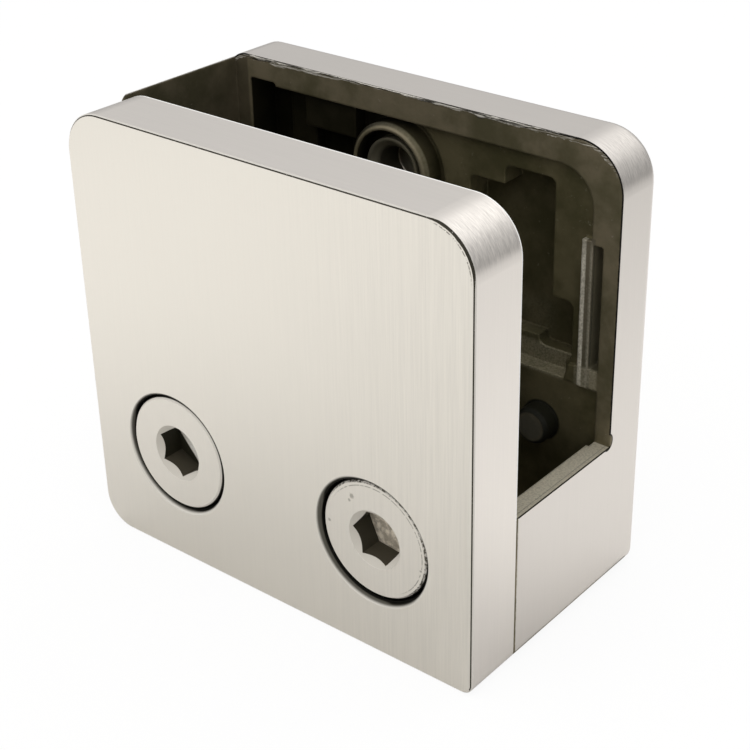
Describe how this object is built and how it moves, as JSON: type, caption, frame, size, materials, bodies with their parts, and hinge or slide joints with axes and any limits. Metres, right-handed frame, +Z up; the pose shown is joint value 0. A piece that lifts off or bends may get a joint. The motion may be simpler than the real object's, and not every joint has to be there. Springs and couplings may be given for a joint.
{
  "type": "glass panel clamp",
  "caption": "Square metal clamp with a loose front plate and a hollow base block that grips the edge of a glass panel.",
  "frame": {"origin": "centre of the flat base, under the middle of the closed clamp", "axes": "+Z up from the base, -Y towards the front plate and its screws, +X towards the open side of the slot"},
  "size_m": [0.05, 0.0292, 0.048],
  "materials": {
    "brushed_plate": "fine vertical brushed grain",
    "cast_body": "brushed outside, as cast inside the slot",
    "screw_steel": "satin turned head"
  },
  "bodies": {
    "body": {"body": "cast_body"},
    "front_plate": {"front_plate": "brushed_plate"},
    "screw_left": {"screw_left": "screw_steel"},
    "screw_right": {"screw_right": "screw_steel"}
  },
  "joints": [
    {"name": "plate_slide", "type": "slide", "parent": "body", "child": "front_plate", "axis": [0, -1, 0], "range_m": [0, 0.005]},
    {"name": "screw_left_turn", "type": "hinge", "parent": "front_plate", "child": "screw_left", "pos_m": [-0.0131, -0.0093, 0.0127], "axis": [0, -1, 0], "range_deg": [0, 1800.5]},
    {"name": "screw_right_turn", "type": "hinge", "parent": "front_plate", "child": "screw_right", "pos_m": [0.0131, -0.0093, 0.0127], "axis": [0, -1, 0], "range_deg": [0, 1800.5]}
  ],
  "couplings": [
    {"joint": "screw_left_turn", "follows": "plate_slide", "rad_per_m": 6283.2},
    {"joint": "screw_right_turn", "follows": "plate_slide", "rad_per_m": 6283.2}
  ]
}
